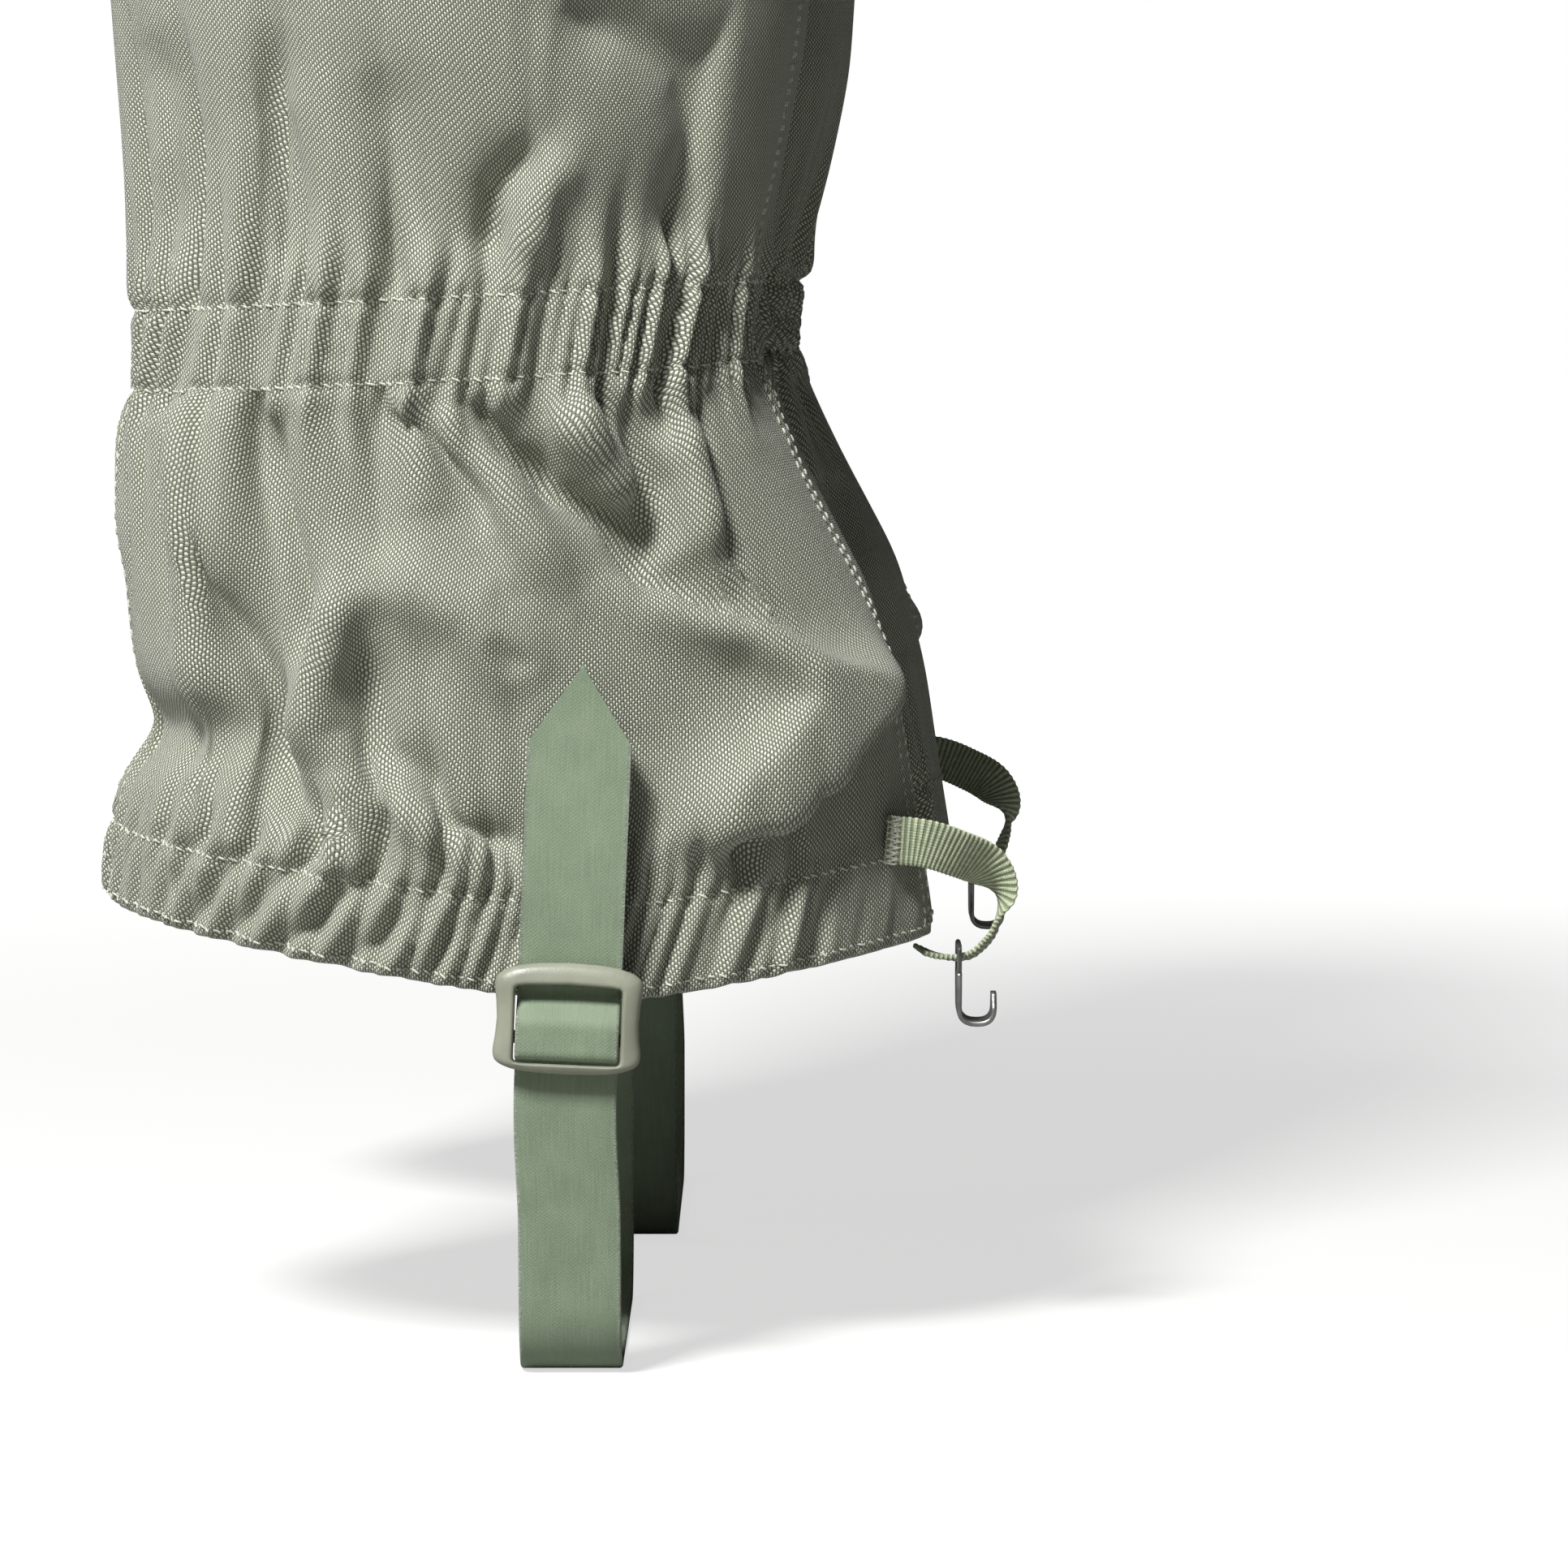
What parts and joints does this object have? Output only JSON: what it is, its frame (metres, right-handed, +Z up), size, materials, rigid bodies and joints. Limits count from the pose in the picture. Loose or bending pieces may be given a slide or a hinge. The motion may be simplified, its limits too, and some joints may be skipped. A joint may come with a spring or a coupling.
{
  "type": "hiking gaiters",
  "caption": "Pair of woven hiking gaiters with elastic at ankle and hem, a front flap, coated instep straps with slide buckles and webbing lace loops.",
  "frame": {"origin": "on the ground, under the middle of the pair's overall box", "axes": "+X to the toes, +Y to the wearer's left, +Z up"},
  "size_m": [0.2012, 0.3184, 0.45],
  "materials": {
    "cloth": "matte",
    "lining": "matte",
    "elastic": "matte",
    "strap": "matte",
    "webbing": "matte",
    "plastic": "satin",
    "steel": "satin"
  },
  "bodies": {
    "right_gaiter": {"right_outer_panel": "cloth", "right_inner_panel": "cloth", "right_loop_tape": "lining", "right_ankle_elastic": "elastic", "right_ankle_casing": "lining", "right_outer_hem_elastic": "elastic", "right_inner_hem_elastic": "elastic", "right_top_casing": "cloth", "right_drawcord": "elastic", "right_cord_end": "plastic", "right_instep_strap": "strap", "right_strap_patch": "strap", "right_buckle_tape": "webbing"},
    "right_flap": {"right_front_flap": "cloth", "right_hook_tape": "lining", "right_lace_loop": "webbing"},
    "right_lace_hook": {"right_lace_hook": "steel"},
    "right_buckle": {"right_buckle": "plastic"},
    "right_strap_tail": {"right_strap_tail": "strap"},
    "right_cord_lock": {"right_cord_lock_body": "plastic", "right_cord_lock_spring": "steel"},
    "right_cord_lock_plunger": {"right_cord_lock_plunger": "plastic"},
    "left_gaiter": {"left_outer_panel": "cloth", "left_inner_panel": "cloth", "left_loop_tape": "lining", "left_ankle_elastic": "elastic", "left_ankle_casing": "lining", "left_outer_hem_elastic": "elastic", "left_inner_hem_elastic": "elastic", "left_top_casing": "cloth", "left_drawcord": "elastic", "left_cord_end": "plastic", "left_instep_strap": "strap", "left_strap_patch": "strap", "left_buckle_tape": "webbing"},
    "left_flap": {"left_front_flap": "cloth", "left_hook_tape": "lining", "left_lace_loop": "webbing"},
    "left_lace_hook": {"left_lace_hook": "steel"},
    "left_buckle": {"left_buckle": "plastic"},
    "left_strap_tail": {"left_strap_tail": "strap"},
    "left_cord_lock": {"left_cord_lock_body": "plastic", "left_cord_lock_spring": "steel"},
    "left_cord_lock_plunger": {"left_cord_lock_plunger": "plastic"}
  },
  "joints": [
    {"name": "right_flap_opens", "type": "hinge", "parent": "right_gaiter", "child": "right_flap", "pos_m": [0.02786, -0.136, 0.25], "axis": [0, 0, -1], "range_deg": [0, 70]},
    {"name": "right_lace_hook_swings", "type": "hinge", "parent": "right_flap", "child": "right_lace_hook", "pos_m": [0.08086, -0.092, 0.0774], "axis": [0, 1, 0], "range_deg": [-30, 15]},
    {"name": "right_buckle_tilts", "type": "hinge", "parent": "right_gaiter", "child": "right_buckle", "pos_m": [0.0042, -0.1429, 0.0673], "axis": [0.999, 0, -0.0436], "range_deg": [0, 10]},
    {"name": "right_strap_takes_up", "type": "slide", "parent": "right_gaiter", "child": "right_strap_tail", "axis": [0.0436, 0, 0.999], "range_m": [0, 0.02], "deforming": ["right_instep_strap"]},
    {"name": "right_cord_lock_slides", "type": "slide", "parent": "right_gaiter", "child": "right_cord_lock", "axis": [0, 0, -1], "range_m": [0, 0.03]},
    {"name": "right_cord_lock_presses", "type": "slide", "parent": "right_cord_lock", "child": "right_cord_lock_plunger", "axis": [-0.9511, -0.309, 0], "range_m": [0, 0.003], "stiffness_N_per_m": 100, "deforming": ["right_cord_lock_spring"]},
    {"name": "left_stands_apart", "type": "slide", "parent": "right_gaiter", "child": "left_gaiter", "axis": [0, 1, 0], "range_m": [0, 0.15]},
    {"name": "left_flap_opens", "type": "hinge", "parent": "left_gaiter", "child": "left_flap", "pos_m": [0.03586, 0.136, 0.25], "axis": [0, 0, 1], "range_deg": [0, 70]},
    {"name": "left_lace_hook_swings", "type": "hinge", "parent": "left_flap", "child": "left_lace_hook", "pos_m": [0.08886, 0.092, 0.0774], "axis": [0, 1, 0], "range_deg": [-30, 15]},
    {"name": "left_buckle_tilts", "type": "hinge", "parent": "left_gaiter", "child": "left_buckle", "pos_m": [0.0122, 0.1429, 0.0673], "axis": [-0.999, 0, 0.0436], "range_deg": [0, 10]},
    {"name": "left_strap_takes_up", "type": "slide", "parent": "left_gaiter", "child": "left_strap_tail", "axis": [0.0436, 0, 0.999], "range_m": [0, 0.02], "deforming": ["left_instep_strap"]},
    {"name": "left_cord_lock_slides", "type": "slide", "parent": "left_gaiter", "child": "left_cord_lock", "axis": [0, 0, -1], "range_m": [0, 0.03]},
    {"name": "left_cord_lock_presses", "type": "slide", "parent": "left_cord_lock", "child": "left_cord_lock_plunger", "axis": [-0.9511, 0.309, 0], "range_m": [0, 0.003], "stiffness_N_per_m": 100, "deforming": ["left_cord_lock_spring"]}
  ]
}
